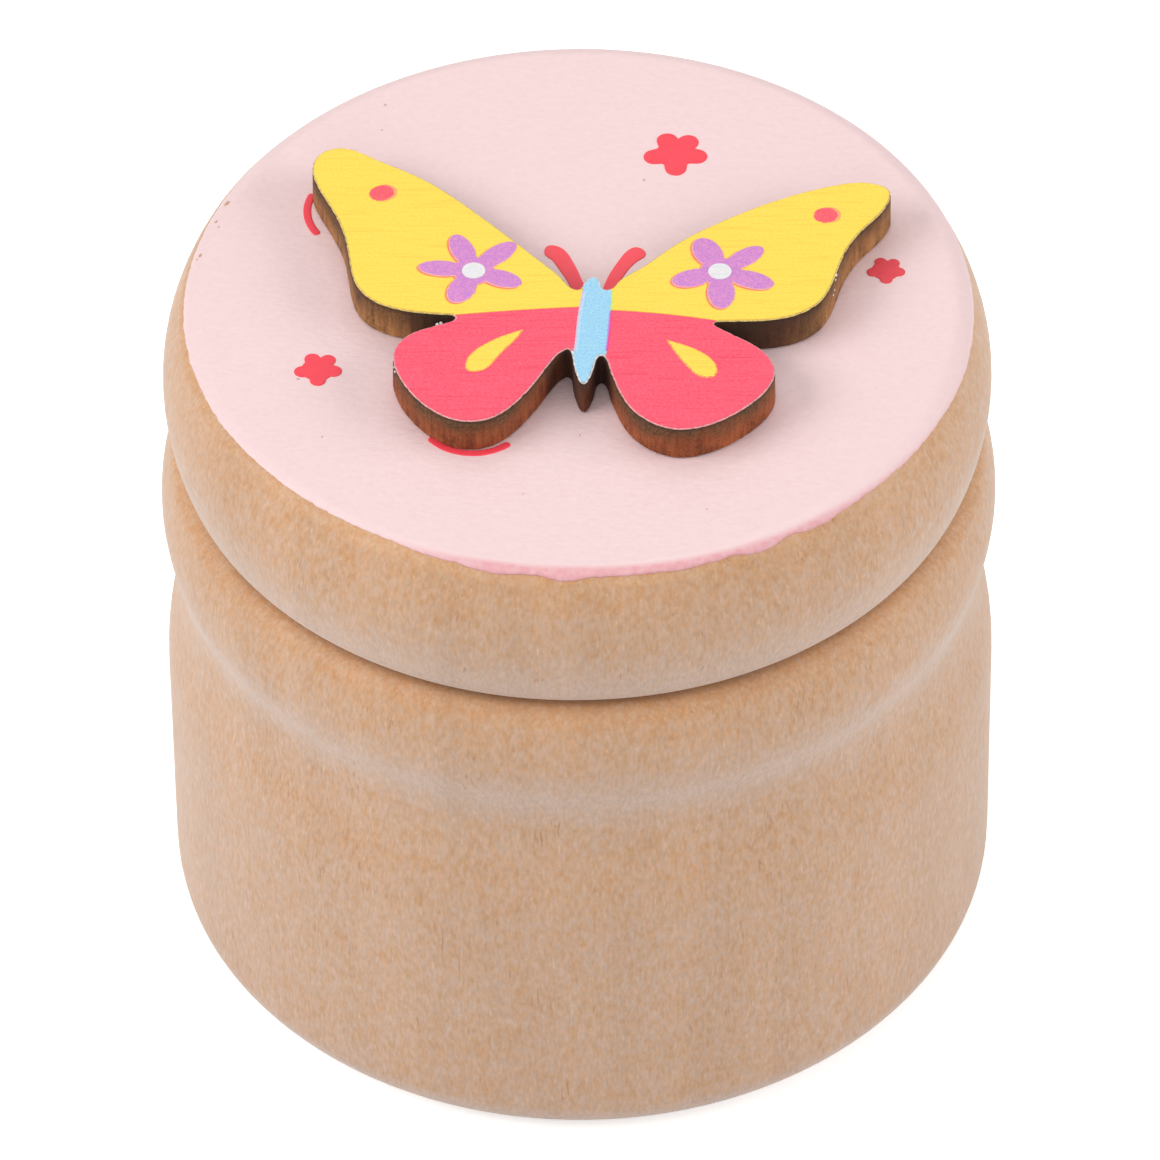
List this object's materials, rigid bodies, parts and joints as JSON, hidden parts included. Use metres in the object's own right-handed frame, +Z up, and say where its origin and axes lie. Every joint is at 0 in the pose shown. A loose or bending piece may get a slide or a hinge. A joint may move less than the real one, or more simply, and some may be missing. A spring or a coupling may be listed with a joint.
{
  "type": "baby tooth box",
  "caption": "Small round turned-wood keepsake box for milk teeth; its lift-off lid is lacquered and carries a glued, printed butterfly and painted flowers.",
  "frame": {"origin": "middle of the foot's underside, on the turning axis", "axes": "+Z up the turning axis, out through the lid; -Y to the front, where the hindwings point; +X to the right seen from the front"},
  "size_m": [0.045, 0.045, 0.043],
  "materials": {
    "turned_wood": "bare, finely sanded",
    "burnt_plywood": "laser-cut, edge burnt brown",
    "pink_lacquer": "thin satin lacquer",
    "red_paint": "thin matt print",
    "white_ink": "thin satin print",
    "yellow_ink": "thin satin print",
    "pink_ink": "thin satin print",
    "blue_ink": "thin satin print",
    "purple_ink": "thin satin print",
    "red_ink": "thin satin print",
    "clear_glue": "set clear glue"
  },
  "bodies": {
    "cup": {"cup": "turned_wood"},
    "lid": {"lid": "turned_wood", "butterfly": "burnt_plywood", "lid_coat": "pink_lacquer", "glue_spots": "clear_glue", "print_base": "white_ink", "body_ink": "blue_ink", "forewing_ink_left": "yellow_ink", "forewing_ink_right": "yellow_ink", "hindwing_ink_left": "pink_ink", "hindwing_ink_right": "pink_ink", "wing_flower_left": "purple_ink", "wing_flower_right": "purple_ink", "flower_centre_left": "white_ink", "flower_centre_right": "white_ink", "wing_dot_left": "red_ink", "wing_dot_right": "red_ink", "wing_drop_left": "yellow_ink", "wing_drop_right": "yellow_ink", "antenna_left": "red_paint", "antenna_right": "red_paint", "flutter_arc_left": "red_paint", "flutter_arc_front": "red_paint", "lid_flower_back": "red_paint", "lid_flower_left": "red_paint", "lid_flower_right": "red_paint"}
  },
  "joints": [
    {"name": "lid_lift", "type": "slide", "parent": "cup", "child": "lid", "axis": [0, 0, 1], "range_m": [0, 0.03]}
  ]
}
